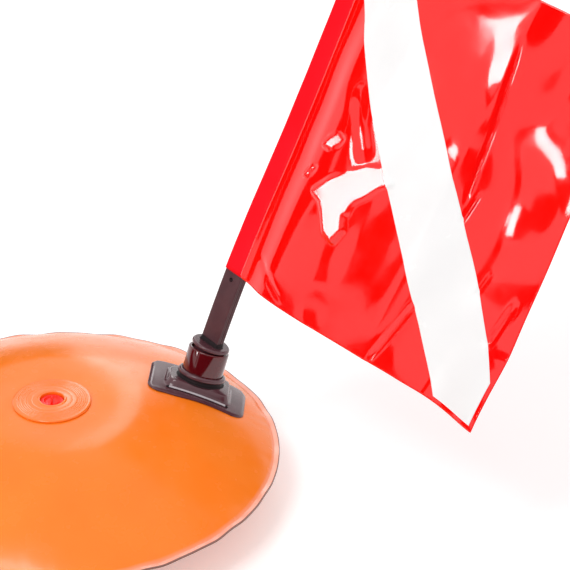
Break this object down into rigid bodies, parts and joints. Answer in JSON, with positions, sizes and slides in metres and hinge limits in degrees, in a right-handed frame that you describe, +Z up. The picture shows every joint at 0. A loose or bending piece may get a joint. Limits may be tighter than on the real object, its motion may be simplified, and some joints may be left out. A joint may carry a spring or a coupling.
{
  "type": "dive flag float",
  "caption": "Round inflatable orange float with a red and white diagonal-striped flag on a flat staff in a shoulder socket, and a line ring underneath.",
  "frame": {"origin": "on the float's round axis, in the plane of the flat underside that it rests on", "axes": "+Z up along the float's round axis, +X towards the shoulder that carries the staff socket, +Y completing a right-handed frame; -Z is the resting direction"},
  "size_m": [0.6174, 0.4606, 0.5118],
  "materials": {
    "orange_vinyl": "glossy soft orange vinyl sheet with broad pale highlights and soft waves",
    "valve_vinyl": "glossy orange vinyl moulding with fine concentric rings",
    "red_plug": "glossy bright red soft vinyl plug",
    "black_moulding": "satin grey-black soft vinyl moulding with a fine grain",
    "black_gloss": "smooth glossy black rigid plastic",
    "staff_plastic": "satin dark brown-black extruded plastic with fine lines along it",
    "soft_rubber": "dull black rubber",
    "red_vinyl": "glossy thin red vinyl sheet with crisp glare and soft folds",
    "white_vinyl": "glossy thin white vinyl film",
    "ring_steel": "polished bent steel wire"
  },
  "bodies": {
    "float": {"upper_panel": "orange_vinyl", "lower_panel": "orange_vinyl", "valve_flange": "valve_vinyl", "holder_plate": "black_moulding", "socket_tube": "black_gloss", "line_patch": "orange_vinyl", "ring_strap": "orange_vinyl"},
    "grip_ring": {"grip_ring": "soft_rubber"},
    "flagstaff": {"staff_plug": "black_moulding", "staff": "staff_plastic", "staff_top_plug": "black_moulding", "flag_sleeve": "red_vinyl", "flag_panel": "red_vinyl", "stripe_front": "white_vinyl", "stripe_back": "white_vinyl"},
    "valve_plug": {"valve_plug": "red_plug"},
    "valve_flap": {"valve_flap": "soft_rubber"},
    "line_ring": {"line_ring": "ring_steel"}
  },
  "joints": [
    {"name": "staff_lift", "type": "slide", "parent": "float", "child": "grip_ring", "axis": [0.3827, 0, 0.9239], "range_m": [0, 0.022]},
    {"name": "staff_turn", "type": "hinge", "parent": "grip_ring", "child": "flagstaff", "pos_m": [0.15028, 0.00418, 0.10943], "axis": [0.3827, 0, 0.9239], "continuous": true},
    {"name": "valve_lift", "type": "slide", "parent": "float", "child": "valve_plug", "axis": [0, 0, 1], "range_m": [0, 0.016]},
    {"name": "valve_flap_swing", "type": "hinge", "parent": "float", "child": "valve_flap", "pos_m": [-0.00975, 0, 0.0813], "axis": [0, 1, 0], "range_deg": [0, 50], "stiffness_Nm_per_rad": 0.0006, "springref_deg": -17.19},
    {"name": "line_ring_swing", "type": "hinge", "parent": "float", "child": "line_ring", "pos_m": [-0.15159, 0, 0.01154], "axis": [0, 1, 0], "range_deg": [-120, 50]}
  ]
}
